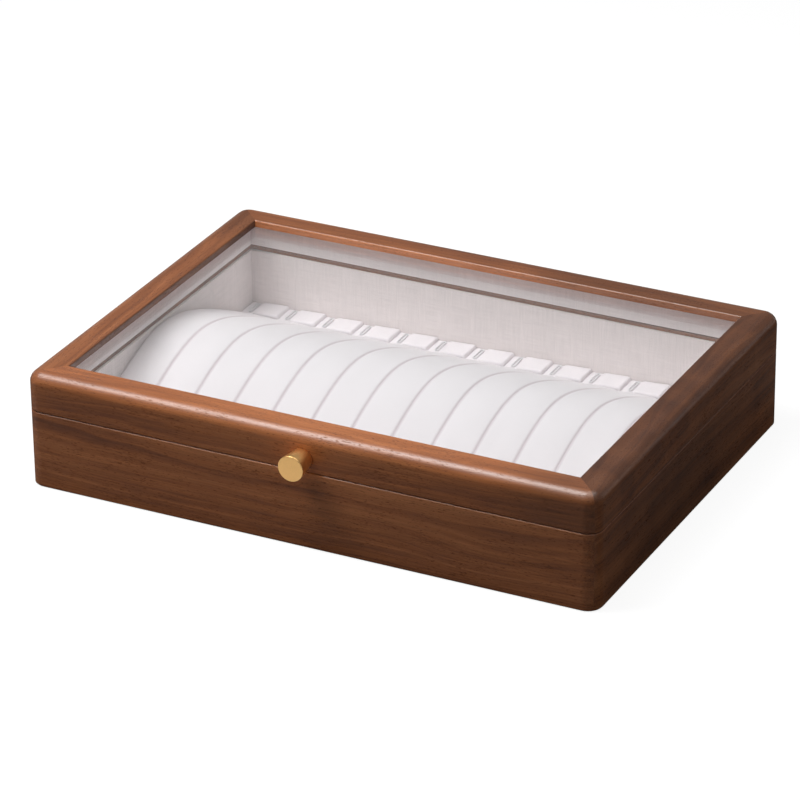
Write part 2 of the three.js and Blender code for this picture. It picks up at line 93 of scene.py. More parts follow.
# Ribbed pad: its grooves run as in the solid, and its lanes are a little flatter
PAD_LOW, PAD_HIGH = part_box("necklace_pad")
LANES = 13
LANE_PITCH = (PAD_HIGH.x - PAD_LOW.x) / LANES
SOLID_GROOVE = 1.5 * MM
SOLID_FOOT = 1.7 * MM
PAD_CREST = PAD_HIGH.z - SOLID_GROOVE
PAD_FOOT = PAD_LOW.z + SOLID_FOOT
CREST_BEND = 48 * MM
GROOVE_DEPTH = 1.2 * MM
PAD_TUCK = 0.9 * MM
LANE_POWER = 2.1
LANE_COLUMNS = 14
PAD_ROWS = 96
ROW_CROWDING = 0.3
PAD_PRESSURE = 4.0
PAD_SWELL = 0.5 * MM
PUFF_FRAMES = 20

# Clasp rail: a tab's width, its height at both sides, and the rounds at its ends and sides
RAIL_LOW, RAIL_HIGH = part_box("clasp_rail")
TAB_PITCH = (RAIL_HIGH.x - RAIL_LOW.x) / LANES
TAB_WIDTH = 0.7 * TAB_PITCH
TAB_LEFT = 1.5 * MM
TAB_RIGHT = 2.4 * MM
RAIL_FLOOR = RAIL_HIGH.z - TAB_RIGHT
TAB_ROUND = 1.2 * MM
STEP_WIDTH = 1.1 * MM
# Where the lines of its mesh lie, as shares: of the gap beside a tab, of the rounds at a tab's sides
# and ends, of the tab's width and of the rail's depth
GAP_LINES = (0.3, 0.7)
SIDE_LINES = (0.0, 0.02, 0.1, 0.3, 0.6, 1.0)
END_LINES = (0.0, 0.03, 0.12, 0.3, 0.6, 1.0)
TAB_LINES = (0.15, 0.3, 0.45, 0.6, 0.75, 0.88)
DEPTH_LINES = (0.2, 0.35, 0.5, 0.65, 0.8)
# How close a line lies to the left side of a tab, and to the next lane
STEP_GAP = 0.05 * MM
LANE_GAP = 0.001 * MM

# Elastic loops: radius of the cord, steps of a half turn and sides of the cord
LOOP_CORD = 0.33 * MM
LOOP_BEND_STEPS = 10
LOOP_SIDES = 10

# Knob: its back and its screw hole, and the rounds at back and face
KNOB_LOW, KNOB_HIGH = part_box("knob")
KNOB_BACK_RADIUS = 6.2 * MM
KNOB_BORE_RADIUS = 2.3 * MM
KNOB_BORE_DEPTH = 9.3 * MM
KNOB_EDGE = 0.4 * MM
KNOB_SIDES = 96
EDGE_STEPS = 4

# Stage: how far the floor reaches and lies under the box, and the point that the lamps face
FLOOR_REACH = 6.0
FLOOR_DROP = 0.2 * MM
LAMP_AIM = Vector((0, 0, 0.05))
# Each lamp's direction from that point, distance, size and power
LAMPS = {
    "key": ((-0.36, -0.23, 0.90), 1.08, (0.55, 0.72), 10.8),
    "front_fill": ((-0.66, -0.71, 0.25), 1.05, (0.45, 0.45), 0.15),
    "top_fill": ((0.25, 0.02, 0.965), 1.15, (0.9, 0.9), 5.9),
}
# The world as light, and as gloss sees it, by the height of the ray's direction
AMBIENT = (0.059, 0.0595, 0.06)
MIRRORED = [(0.03, (1, 1, 1)), (0.14, (0.17, 0.17, 0.175))]
# The floor as the camera sees it, and as it scatters light
FLOOR_SHOWN = (0.20, 0.20, 0.20)
FLOOR_GLOW = 0.88
FLOOR_DULL = (0.13, 0.128, 0.125)
# The floor as gloss sees it: it turns from dull to bright between two places at the box's front
FRONT_BEGINS = -CORNER_Y + 8 * MM
FRONT_FULL = -CORNER_Y - 12 * MM
FRONT_DULL = 0.12
FRONT_BRIGHT = 0.55

# Values between which most of a noise lies
NOISE_LOW = 0.3
NOISE_HIGH = 0.7

# Walnut colours, in linear light, where they lie in the mix of its layers, and what is taken off the mix
WALNUT_DARK = (0.190, 0.058, 0.022)
WALNUT_MID = (0.400, 0.134, 0.045)
WALNUT_LIGHT = (0.580, 0.218, 0.084)
WALNUT_STOPS = ((0.28, WALNUT_DARK), (0.5, WALNUT_MID), (0.74, WALNUT_LIGHT))
MIX_MIDDLE = 0.215
# Repeats of its noises per metre, along the board and across it
WANDER = (3.6, 12, 12)
BROAD = (6, 30, 30)
FIBRE = (24, 1250, 1250)
FINE = (40, 420, 420)
CURL = (62, 12, 12)
SPECK = (420, 2500, 2500)
CROWD = (30, 90, 90)
# Its rings: their lean across the board, how far they wander, and the streaks and bands per metre
RING_LEAN = 0.55
RING_WANDER = 0.040
STREAKS = 110.0
BANDS = 480.0
# Its pores: from where to where their noise darkens the wood, how much they crowd and their tone
PORE_FROM = 0.735
PORE_FULL = 0.80
PORE_CROWDING = 0.22
PORE_TONE = 0.4
# Specular levels of satin and gloss, and the heights between which each body's boards turn glossy
SATIN = 0.25
GLOSS = 0.9
POLISH = {"lid": (LID_TOP - 5.0 * MM, LID_TOP - 2.7 * MM), "base": (BASE_TOP - 0.6 * MM, BASE_TOP)}
# How far apart the boards lie in the wood for each step of their seeds
SEED_STEP = (0.37, 0.021, 0.013)

# Cloths, in linear light, with the pitch of the linen's threads and of the elastic's ribs
LINEN = (0.93, 0.85, 0.835)
VELVET = (0.87, 0.815, 0.848)
ELASTIC = (0.80, 0.79, 0.81)
THREAD = 0.42 * MM
ELASTIC_RIB = 0.35 * MM
# Painted shade in the pad's grooves: what the velvet is multiplied by in a groove, fully up to the first
# share of a lane beside it, and then less and less up to the second
GROOVE_SHADE = (0.77, 0.71, 0.73)
GROOVE_SHADE_FULL = 0.012
GROOVE_SHADE_TO = 0.07

# Each metal's colour, roughness and brush marks per metre, and how much the marks show
METALS = {
    "knob_brass": ((0.98, 0.59, 0.23), 0.36, (2600, 220, 2600)),
    "hinge_brass": ((0.72, 0.50, 0.25), 0.34, (160, 2200, 2200)),
    "steel": ((0.60, 0.60, 0.61), 0.32, (1500, 1500, 1500)),
}
BRUSH_GRAIN = 0.05

# Hardboard: the colours of its fibres
HARDBOARD = [(0.3, (0.075, 0.036, 0.020)), (0.5, (0.14, 0.070, 0.040)), (0.72, (0.21, 0.115, 0.07))]

# Each board's name, tone, seed for its grain, strength of its curly figure, and painted light and tone.
# The right-hand boards' lower tone is partly painted shade. A shade is an axis, two places along it, and
# what the wood is multiplied by from the second place on: mostly painted light fall-off and painted light
# and shade on faces, and in places the board's own tone, as noted at each board
BOARDS = [
    # Painted light fall-off: darker towards its right end
    ("lid_front", 0.98, 1, 0.0, [(0, 0.108, 0.150, 0.60)]),
    # Darker towards the right, partly painted light fall-off and partly the board's tone; painted light on
    # the inner lip face
    ("lid_rear", 0.74, 2, 0.0, [(0, 0.015, 0.050, 0.62), (1, 0.1101, 0.1096, 1.75)]),
    # Darker towards the rear; painted shade on the inner face of the rail
    ("lid_left", 0.68, 3, 0.0, [(1, 0.070, 0.100, 0.70), (0, -0.1572, -0.1567, 0.55)]),
    # Darker over its top: partly painted shade, partly the board's own tone
    ("lid_right", 0.72, 4, 0.35, [(2, 0.060, 0.068, 0.44)]),
    # Painted light fall-off: darker towards the right
    ("base_front", 0.98, 5, 0.0, [(0, -0.02, 0.12, 0.88)]),
    ("base_rear", 0.85, 6, 0.0, []),
    ("base_left", 0.85, 7, 0.0, []),
    # The board's own figure: darker from its front end inwards, and lighter again at its rear end
    ("base_right", 0.72, 8, 0.30, [(1, -0.120, -0.050, 0.66), (1, 0.020, 0.110, 1.6)]),
]
# The soft swirl in the front board of the base, as bent_rings takes it
SWIRL = (0.105, 0.022, 0.045, 0.016, 0.013)


class Graph:
    """The node tree of a material or world, with short calls for the nodes used here."""

    def __init__(self, owner, output="ShaderNodeOutputMaterial"):
        owner.use_nodes = True
        self.owner = owner
        self.tree = owner.node_tree
        self.tree.nodes.clear()
        self.output = self.node(output)

    def node(self, kind, inputs=None, **settings):
        node = self.tree.nodes.new(kind)
        for key, value in settings.items():
            setattr(node, key, value)
        for key, value in (inputs or {}).items():
            self.feed(node.inputs[key], value)
        return node

    def feed(self, socket, value):
        if isinstance(value, bpy.types.NodeSocket):
            self.tree.links.new(value, socket)
        else:
            socket.default_value = value

    def place(self, turn=0.0, offset=(0, 0, 0)):
        """The object's own metres, turned about Z and moved."""
        coordinates = self.node("ShaderNodeTexCoord").outputs["Object"]
        inputs = {"Vector": coordinates, "Rotation": (0, 0, turn), "Location": offset}
        return self.node("ShaderNodeMapping", inputs).outputs[0]

    def axes(self, vector):
        """The three numbers of a vector."""
        return self.node("ShaderNodeSeparateXYZ", {0: vector}).outputs

    def scaled(self, vector, scale):
        inputs = {0: vector, 1: scale}
        return self.node("ShaderNodeVectorMath", inputs, operation="MULTIPLY").outputs[0]

    def math(self, operation, a, b=0.0, clamp=False):
        node = self.node("ShaderNodeMath", {0: a, 1: b}, operation=operation, use_clamp=clamp)
        return node.outputs[0]

    def weighed(self, first, *others):
        """The sum of values, each given with its weight."""
        total = self.math("MULTIPLY", *first)
        for value, weight in others:
            total = self.math("ADD", total, self.math("MULTIPLY", value, weight))
        return total

    def noise(self, vector, detail=2.0, roughness=0.5):
        inputs = {"Vector": vector, "Scale": 1.0, "Detail": detail, "Roughness": roughness}
        return self.node("ShaderNodeTexNoise", inputs).outputs["Fac"]

    def noise_line(self, value, roughness=0.5):
        """Noise along one number, as rings have it."""
        inputs = {"W": value, "Scale": 1.0, "Detail": 2.0, "Roughness": roughness}
        return self.node("ShaderNodeTexNoise", inputs, noise_dimensions="1D").outputs["Fac"]

    def range(self, value, low, high, to_low=0.0, to_high=1.0):
        inputs = {"Value": value, "From Min": low, "From Max": high, "To Min": to_low, "To Max": to_high}
        return self.node("ShaderNodeMapRange", inputs, clamp=True).outputs[0]

    def spread(self, noise, to_low, to_high):
        """A noise drawn out between two values."""
        return self.range(noise, NOISE_LOW, NOISE_HIGH, to_low, to_high)

    def ramp(self, value, stops):
        node = self.node("ShaderNodeValToRGB", {"Fac": value})
        elements = node.color_ramp.elements
        while len(elements) < len(stops):
            elements.new(0.5)
        for element, (position, colour) in zip(elements, stops):
            element.position = position
            element.color = (*colour, 1.0)
        return node.outputs["Color"]

    def mix(self, factor, a, b, blend="MIX"):
        inputs = {"Factor": factor, 6: a, 7: b}
        return self.node("ShaderNodeMix", inputs, data_type="RGBA", blend_type=blend).outputs[2]

    def grey(self, value):
        return self.node("ShaderNodeCombineColor", {0: value, 1: value, 2: value}).outputs[0]

    def toned(self, colour, value):
        """A colour multiplied by a value that varies."""
        return self.mix(1.0, colour, self.grey(value), "MULTIPLY")

    def bump(self, height, distance, strength):
        inputs = {"Height": height, "Distance": distance, "Strength": strength}
        return self.node("ShaderNodeBump", inputs).outputs[0]

    def principled(self, **inputs):
        named = {key.replace("_", " "): value for key, value in inputs.items()}
        shader = self.node("ShaderNodeBsdfPrincipled", named)
        self.feed(self.output.inputs["Surface"], shader.outputs[0])
        return shader


def times(values, share):
    """Each number of a colour or place, multiplied by a share."""
    return tuple(value * share for value in values)


def bent_rings(g, rings, own, knot):
    """Rings bent round a knot, which is its place and its reach along X and Z, and the bend's height."""
    x, z, reach_x, reach_z, rise = knot
    far_x = g.math("POWER", g.math("DIVIDE", g.math("SUBTRACT", own[0], x), reach_x), 2.0)
    far_z = g.math("POWER", g.math("DIVIDE", g.math("SUBTRACT", own[2], z), reach_z), 2.0)
    apart = g.math("ADD", g.math("ADD", far_x, far_z), 1.0)
    return g.math("ADD", rings, g.math("DIVIDE", rise, apart))


def walnut(name, along_y, tone, seed, polish, figure, painted_light_and_tone, knot):
    """Oiled walnut: rings that wander along the board, dark streaks, fibres and pores.

    Polish gives the two heights between which the satin turns to gloss. Painted light and tone darken or
    lighten the wood from one place to another along an axis of the object: mostly painted light fall-off
    and painted light and shade on faces, in places the board's own tone. A knot, where there is one, bends
    the rings.
    """
    g = Graph(bpy.data.materials.new(name))
    turn = math.radians(-90) if along_y else 0.0
    board = g.place(turn, times(SEED_STEP, seed))
    own = g.axes(g.place())
    along = g.axes(board)
    wander = g.noise(g.scaled(board, WANDER), detail=3)
    across = g.math("ADD", along[2], g.math("MULTIPLY", along[1], RING_LEAN))
    rings = g.math("ADD", across, g.math("MULTIPLY", wander, RING_WANDER))
    if knot:
        rings = bent_rings(g, rings, own, knot)
    streak = g.noise_line(g.math("MULTIPLY", rings, STREAKS))
    band = g.noise_line(g.math("MULTIPLY", rings, BANDS), roughness=0.6)
    broad = g.noise(g.scaled(board, BROAD), detail=3)
    fibre = g.noise(g.scaled(board, FIBRE), roughness=0.6)
    fine = g.noise(g.scaled(board, FINE), detail=3, roughness=0.6)
    shade = g.weighed((streak, 0.50), (band, 0.26), (broad, 0.45), (fine, 0.22))
    shade = g.math("SUBTRACT", shade, MIX_MIDDLE)
    if figure:
        curl = g.math("SUBTRACT", g.noise(g.scaled(board, CURL)), 0.5)
        shade = g.math("ADD", shade, g.math("MULTIPLY", curl, figure))
    colour = g.ramp(shade, [(place, times(shown, tone)) for place, shown in WALNUT_STOPS])
    fibre_tone_and_painted_light = g.spread(fibre, 0.84, 1.12)
    # Painted light and shade, and in places the wood's own tone, along an axis of the object
    for axis, begin, end, share in painted_light_and_tone:
        fibre_tone_and_painted_light = g.math("MULTIPLY", fibre_tone_and_painted_light, g.range(own[axis], begin, end, 1.0, share))
    colour = g.toned(colour, fibre_tone_and_painted_light)
    speck = g.noise(g.scaled(board, SPECK), detail=1)
    crowd = g.noise(g.scaled(board, CROWD), detail=1)
    pore = g.math("ADD", speck, g.math("MULTIPLY", crowd, PORE_CROWDING))
    pore = g.range(pore, PORE_FROM, PORE_FULL)
    pore_colour = (*times(WALNUT_DARK, PORE_TONE * tone), 1)
    colour = g.mix(g.math("MULTIPLY", pore, 0.5), colour, pore_colour)
    height = g.math("SUBTRACT", g.math("MULTIPLY", fibre, 0.35), pore)
    g.principled(
        Base_Color=colour,
        Roughness=g.math("ADD", g.spread(fine, 0.31, 0.40), g.math("MULTIPLY", pore, 0.5)),
        Specular_IOR_Level=g.range(own[2], *polish, SATIN, GLOSS),
        Normal=g.bump(height, 0.05 * MM, 0.5),
    )
    return g.owner


def weave_height(g, first, second, pitch):
    """Plain weave of two sets of threads, over and under each other."""
    turns = math.pi / pitch
    warp = g.math("SINE", g.math("MULTIPLY", first, turns))
    weft = g.math("SINE", g.math("MULTIPLY", second, turns))
    side = g.range(g.math("MULTIPLY", warp, weft), -0.2, 0.2)
    other = g.math("SUBTRACT", 1.0, side)
    return g.weighed((g.math("ABSOLUTE", warp), side), (g.math("ABSOLUTE", weft), other))


def linen():
    """Fine off-white linen with uneven threads both ways."""
    g = Graph(bpy.data.materials.new("linen"))
    metres = g.place()
    x, y, z = g.axes(metres)
    weave = weave_height(g, g.math("ADD", x, y), z, THREAD)
    weft = g.noise(g.scaled(metres, (60, 60, 1500)))
    warp = g.noise(g.scaled(metres, (1500, 1500, 60)))
    slub = g.math("ADD", weft, warp)
    cloud = g.noise(g.scaled(metres, (25, 25, 25)))
    tone = g.range(slub, 0.75, 1.25, 0.93, 1.05)
    tone = g.math("MULTIPLY", tone, g.range(weave, 0.0, 1.0, 0.90, 1.03))
    tone = g.math("MULTIPLY", tone, g.spread(cloud, 0.975, 1.02))
    g.principled(
        Base_Color=g.toned((*LINEN, 1), tone),
        Roughness=0.92,
        Normal=g.bump(g.math("ADD", weave, slub), 0.06 * MM, 0.6),
        Sheen_Weight=0.15,
        Sheen_Roughness=0.5,
        Specular_IOR_Level=0.2,
    )
    return g.owner


def velvet(name, shade_grooves):
    """Short white pile with a soft sheen and a brushed nap, with painted shade along the pad's grooves."""
    g = Graph(bpy.data.materials.new(name))
    metres = g.place()
    pile = g.noise(g.scaled(metres, (1800, 1800, 1800)), roughness=0.7)
    nap = g.noise(g.scaled(metres, (45, 16, 45)), detail=3, roughness=0.55)
    tone = g.math("MULTIPLY", g.spread(pile, 0.95, 1.03), g.spread(nap, 0.97, 1.02))
    shade = g.toned((*VELVET, 1), tone)
    if shade_grooves:
        # Painted shade along the pad's grooves
        lanes = g.math("DIVIDE", g.math("SUBTRACT", g.axes(metres)[0], PAD_LOW.x), LANE_PITCH)
        nearest = g.math("ABSOLUTE", g.math("SUBTRACT", lanes, g.math("ROUND", lanes)))
        painted_groove_shade = g.range(nearest, GROOVE_SHADE_FULL, GROOVE_SHADE_TO, 1.0, 0.0)
        shade = g.mix(painted_groove_shade, shade, g.mix(1.0, shade, (*GROOVE_SHADE, 1), "MULTIPLY"))
    g.principled(
        Base_Color=shade,
        Roughness=0.95,
        Normal=g.bump(pile, 0.12 * MM, 0.5),
        Sheen_Weight=0.25,
        Sheen_Roughness=0.45,
        Specular_IOR_Level=0.15,
    )
    return g.owner


def elastic():
    """White knitted elastic with fine ribs across the cord."""
    g = Graph(bpy.data.materials.new("elastic"))
    rib = g.math("SINE", g.math("MULTIPLY", g.axes(g.place())[1], 2 * math.pi / ELASTIC_RIB))
    tone = g.math("ADD", g.math("MULTIPLY", rib, 0.06), 0.94)
    g.principled(
        Base_Color=g.toned((*ELASTIC, 1), tone),
        Roughness=0.6,
        Normal=g.bump(rib, 0.04 * MM, 0.6),
        Sheen_Weight=0.2,
    )
    return g.owner


def brushed(name, colour, rough, marks):
    """Satin metal with fine brush marks, given by their number per metre along each axis."""
    g = Graph(bpy.data.materials.new(name))
    metres = g.place()
    mark = g.noise(g.scaled(metres, marks), detail=3, roughness=0.6)
    cloud = g.noise(g.scaled(metres, (160, 160, 160)))
    tone = g.math("ADD", g.spread(mark, 1.0 - BRUSH_GRAIN, 1.0 + BRUSH_GRAIN), -0.01)
    tone = g.math("MULTIPLY", tone, g.spread(cloud, 0.97, 1.02))
    g.principled(
        Base_Color=g.toned((*colour, 1), tone),
        Metallic=1.0,
        Roughness=g.spread(mark, rough - 0.05, rough + 0.07),
        Normal=g.bump(mark, 0.01 * MM, 0.4),
    )
    return g.owner


def glass():
    """Clear glass that bends what is under it, and lets lamps and scattered light straight through."""
    g = Graph(bpy.data.materials.new("glass"))
    shader = g.principled(
        Base_Color=(0.985, 0.995, 0.99, 1), Roughness=0.0, IOR=1.45, Transmission_Weight=1.0
    )
    clear = g.node("ShaderNodeBsdfTransparent", {"Color": (0.955, 0.965, 0.96, 1)})
    path = g.node("ShaderNodeLightPath")
    for ray in ("Is Shadow Ray", "Is Diffuse Ray"):
        sides = {"Fac": path.outputs[ray], 1: shader.outputs[0], 2: clear.outputs[0]}
        shader = g.node("ShaderNodeMixShader", sides)
    g.feed(g.output.inputs["Surface"], shader.outputs[0])
    return g.owner


def hardboard():
    """Stained fibreboard with short fibres pressed flat."""
    g = Graph(bpy.data.materials.new("bottom_board"))
    metres = g.place()
    fibre = g.noise(g.scaled(metres, (900, 320, 600)), detail=4, roughness=0.7)
    cloud = g.noise(g.scaled(metres, (40, 40, 40)))
    colour = g.toned(g.ramp(fibre, HARDBOARD), g.spread(cloud, 0.85, 1.1))
    g.principled(Base_Color=colour, Roughness=0.7, Normal=g.bump(fibre, 0.05 * MM, 0.6))
    return g.owner


def seen_directly(path, g):
    """1 where the camera sees this, by itself or through the glass, and 0 where it only gives light."""
    return g.math("ADD", path.outputs["Is Camera Ray"], path.outputs["Is Transmission Ray"], clamp=True)


def floor_material():
    """A white sweep for the camera that keeps the shadow and sends little light back up."""
    g = Graph(bpy.data.materials.new("floor"))
    path = g.node("ShaderNodeLightPath")
    seen = seen_directly(path, g)
    shown = g.node("ShaderNodeBsdfDiffuse", {"Color": (*FLOOR_SHOWN, 1)})
    glow = g.node("ShaderNodeEmission", {"Color": (1, 1, 1, 1), "Strength": FLOOR_GLOW})
    white = g.node("ShaderNodeAddShader", {0: shown.outputs[0], 1: glow.outputs[0]})
    front = g.range(g.axes(g.place())[1], FRONT_BEGINS, FRONT_FULL, FRONT_DULL, FRONT_BRIGHT)
    dull = g.mix(path.outputs["Is Glossy Ray"], (*FLOOR_DULL, 1), g.grey(front))
    dull = g.node("ShaderNodeBsdfDiffuse", {"Color": dull})
    mixed = g.node("ShaderNodeMixShader", {"Fac": seen, 1: dull.outputs[0], 2: white.outputs[0]})
    g.feed(g.output.inputs["Surface"], mixed.outputs[0])
    g.owner.cycles.emission_sampling = "NONE"
    return g.owner


def add_piece(name, bm, material, body, nodes):
    """Turns a bmesh into a shown piece that rides on a body and stands for CAD nodes."""
    mesh = bpy.data.meshes.new(name)
    bm.to_mesh(mesh)
    bm.free()
    mesh.materials.append(material)
    piece = bpy.data.objects.new(name, mesh)
    bpy.context.scene.collection.objects.link(piece)
    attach(piece, body)
    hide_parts(*nodes)
    return piece


def shade_smooth(bm, crease):
    """Smooth faces, with the edges sharper than the crease, in degrees, kept sharp."""
    for face in bm.faces:
        face.smooth = True
    for edge in bm.edges:
        if len(edge.link_faces) == 2:
            edge.smooth = edge.calc_face_angle() < math.radians(crease)


def weigh_normals(piece):
    """Lets the large faces set the normals, so that they shade flat beside their rounds."""
    modifier = piece.modifiers.new("normals", "WEIGHTED_NORMAL")
    modifier.keep_sharp = True
    modifier.weight = 100


def cleaned(node):
    """A CAD node's surface with its split corners joined and its flat faces whole."""
    bm = bmesh.new()
    bm.from_mesh(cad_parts[node].data)
    bmesh.ops.remove_doubles(bm, verts=bm.verts[:], dist=WELD)
    flat = math.radians(FLAT_ANGLE)
    bmesh.ops.dissolve_limit(bm, angle_limit=flat, verts=bm.verts[:], edges=bm.edges[:])
    return bm


def soften(bm, width, segments):
    """Rounds the sharp edges of a surface."""
    limit = math.radians(ROUNDED_ABOVE)
    edges = [e for e in bm.edges if len(e.link_faces) == 2 and e.calc_face_angle() > limit]
    bmesh.ops.bevel(
        bm, geom=edges, offset=width, segments=segments, profile=0.5, affect="EDGES", clamp_overlap=True
    )


def off_mitre(point):
    """How far a point lies from the mitre plane of its corner, towards the side boards."""
    return ((abs(point.x) - CORNER_X) - (abs(point.y) - CORNER_Y)) / math.sqrt(2)


def close_mitres(bm):
    """Brings the two ends of a board up to a hairline from its neighbours."""
    for vertex in bm.verts:
        distance = off_mitre(vertex.co)
        if abs(abs(distance) - MITRE_HALF) < MITRE_REACH:
            wanted = math.copysign(HAIRLINE_HALF, distance)
            sign_x = math.copysign(1, vertex.co.x)
            sign_y = math.copysign(1, vertex.co.y)
            outward = Vector((sign_x, -sign_y, 0)) / math.sqrt(2)
            vertex.co += outward * (wanted - distance)


def make_boards():
    """The eight walnut boards of lid and base, each with its own grain."""
    for name, tone, seed, figure, painted_light_and_tone in BOARDS:
        along_y = name.endswith(("left", "right"))
        bm = cleaned(name)
        close_mitres(bm)
        shade_smooth(bm, WOOD_CREASE)
        knot = SWIRL if name == "base_front" else None
        body = name.split("_")[0]
        material = walnut("walnut_" + name, along_y, tone, seed, POLISH[body], figure, painted_light_and_tone, knot)
        piece = add_piece(name + "_board", bm, material, body, [name])
        weigh_normals(piece)


def widen_seam(bm, body):
    """Draws the lining's edge at the seam back a little, where its cloth is folded over."""
    heights = [vertex.co.z for vertex in bm.verts]
    edge, fold = (max(heights), -SEAM_FOLD) if body == "base" else (min(heights), SEAM_FOLD)
    for vertex in bm.verts:
        if abs(vertex.co.z - edge) < SEAM_BAND:
            vertex.co.z += fold


def make_linings(material):
    """The eight lining boards, covered in cloth."""
    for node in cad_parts:
        if "lining" not in node:
            continue
        body = node.split("_")[0]
        bm = cleaned(node)
        widen_seam(bm, body)
        soften(bm, LINING_ROUND, LINING_STEPS)
        shade_smooth(bm, CLOTH_CREASE)
        piece = add_piece(node + "_cloth", bm, material, body, [node])
        weigh_normals(piece)


def pad_surface(y):
    """Height of the pad's grooves at y."""
    middle = (PAD_LOW.y + PAD_HIGH.y) / 2
    span = (PAD_HIGH.y - PAD_LOW.y) / 2
    fall = math.hypot(CREST_BEND, y - middle) - CREST_BEND
    return PAD_CREST - (PAD_CREST - PAD_FOOT) * fall / (math.hypot(CREST_BEND, span) - CREST_BEND)


def lane_rise(share):
    """Height above the groove at a share of the lane's width: steep at the groove, flat between."""
    edge = abs(2 * share - 1)
    return GROOVE_DEPTH * (1 - edge**LANE_POWER) ** (1 / LANE_POWER)


def closed_grid(points, bottom, tuck):
    """A closed surface: a grid of rows of points, side walls and a level underside, tucked in."""
    bm = bmesh.new()
    rows, columns = len(points), len(points[0])
    grid = [[bm.verts.new(p) for p in row] for row in points]
    for r in range(rows - 1):
        for c in range(columns - 1):
            bm.faces.new((grid[r][c], grid[r][c + 1], grid[r + 1][c + 1], grid[r + 1][c]))
    rim = [grid[0][c] for c in range(columns - 1)]
    rim += [grid[r][columns - 1] for r in range(rows - 1)]
    rim += [grid[rows - 1][c] for c in range(columns - 1, 0, -1)]
    rim += [grid[r][0] for r in range(rows - 1, 0, -1)]
    low = Vector(points[0][0])
    high = Vector(points[-1][-1])
    under = []
    for vertex in rim:
        x = min(max(vertex.co.x, low.x + tuck), high.x - tuck)
        y = min(max(vertex.co.y, low.y + tuck), high.y - tuck)
        under.append(bm.verts.new((x, y, bottom)))
    for i, vertex in enumerate(rim):
        after = (i + 1) % len(rim)
        bm.faces.new((vertex, under[i], under[after], rim[after]))
    bm.faces.new(list(reversed(under)))
    bmesh.ops.recalc_face_normals(bm, faces=bm.faces[:])
    return bm


def crowded(share):
    """A share from 0 to 1, moved so that even steps crowd at both ends."""
    return (1 - math.cos(math.pi * share)) / 2


def pad_grid():
    """Rows of points on the pad's upper surface, closer to each other at the grooves and the ends."""
    shares = [crowded(k / LANE_COLUMNS) for k in range(LANE_COLUMNS)]
    across = [(PAD_LOW.x + (lane + s) * LANE_PITCH, lane_rise(s)) for lane in range(LANES) for s in shares]
    across.append((PAD_HIGH.x, 0.0))
    along = []
    for row in range(PAD_ROWS + 1):
        even = row / PAD_ROWS
        share = ROW_CROWDING * crowded(even) + (1 - ROW_CROWDING) * even
        along.append(PAD_LOW.y + (PAD_HIGH.y - PAD_LOW.y) * share)
    return [[(x, y, pad_surface(y) + rise) for x, rise in across] for y in along]


def puff(piece, held, pressure, most):
    """Blows the free part of a sewn piece up by cloth simulation, by at most a given distance."""
    scene = bpy.context.scene
    before = np.array([v.co for v in piece.data.vertices])
    group = piece.vertex_groups.new(name="held")
    group.add(held, 1.0, "REPLACE")
    cloth = piece.modifiers.new("cloth", "CLOTH")
    settings = cloth.settings
    settings.quality = 6
    settings.mass = 0.2
    settings.tension_stiffness = 12
    settings.compression_stiffness = 12
    settings.shear_stiffness = 6
    settings.bending_stiffness = 0.4
    settings.vertex_group_mass = "held"
    settings.use_pressure = True
    settings.uniform_pressure_force = pressure
    settings.effector_weights.gravity = 0
    cloth.collision_settings.use_collision = False
    cloth.point_cache.frame_start = 1
    cloth.point_cache.frame_end = PUFF_FRAMES
    for number in range(1, PUFF_FRAMES + 1):
        scene.frame_set(number)
    graph = bpy.context.evaluated_depsgraph_get()
    result = piece.evaluated_get(graph).to_mesh()
    after = np.array([v.co for v in result.vertices])
    piece.evaluated_get(graph).to_mesh_clear()
    piece.modifiers.remove(cloth)
    piece.vertex_groups.remove(group)
    scene.frame_set(1)
    move = after - before
    length = np.linalg.norm(move, axis=1, keepdims=True)
    move *= np.minimum(1.0, most / np.maximum(length, TINY))
    for vertex, place in zip(piece.data.vertices, before + move):
        vertex.co = place


def make_pad(material):
    """The pad, sewn down along its grooves and its rim, and blown up between them in full runs."""
    points = pad_grid()
    rows, columns = len(points), len(points[0])
    bm = closed_grid(points, PAD_LOW.z, PAD_TUCK)
    for face in bm.faces:
        face.smooth = True
    piece = add_piece("necklace_cushion", bm, material, "base", ["necklace_pad"])
    inner = [c for c in range(1, columns - 1) if c % LANE_COLUMNS]
    free = {r * columns + c for r in range(1, rows - 1) for c in inner}
    held = sorted(set(range(len(piece.data.vertices))) - free)
    puff(piece, held, PAD_PRESSURE, PAD_SWELL)


def rounded(share):
    """A quarter round from 0 to 1."""
    share = min(max(share, 0.0), 1.0)
    return math.sqrt(1 - (1 - share) ** 2)


def rail_height(x, y):
    """Height of the clasp rail: tabs that rise to the right, with rounded edges on each side."""
    inside = (x - RAIL_LOW.x) % TAB_PITCH - (TAB_PITCH - TAB_WIDTH)
    lift = TAB_LEFT + (TAB_RIGHT - TAB_LEFT) * inside / TAB_WIDTH
    left = rounded(inside / STEP_WIDTH)
    right = rounded((TAB_WIDTH - inside) / STEP_WIDTH)
    front = rounded((y - RAIL_LOW.y) / TAB_ROUND)
    rear = rounded((RAIL_HIGH.y - y) / TAB_ROUND)
    return RAIL_FLOOR + lift * left * right * front * rear


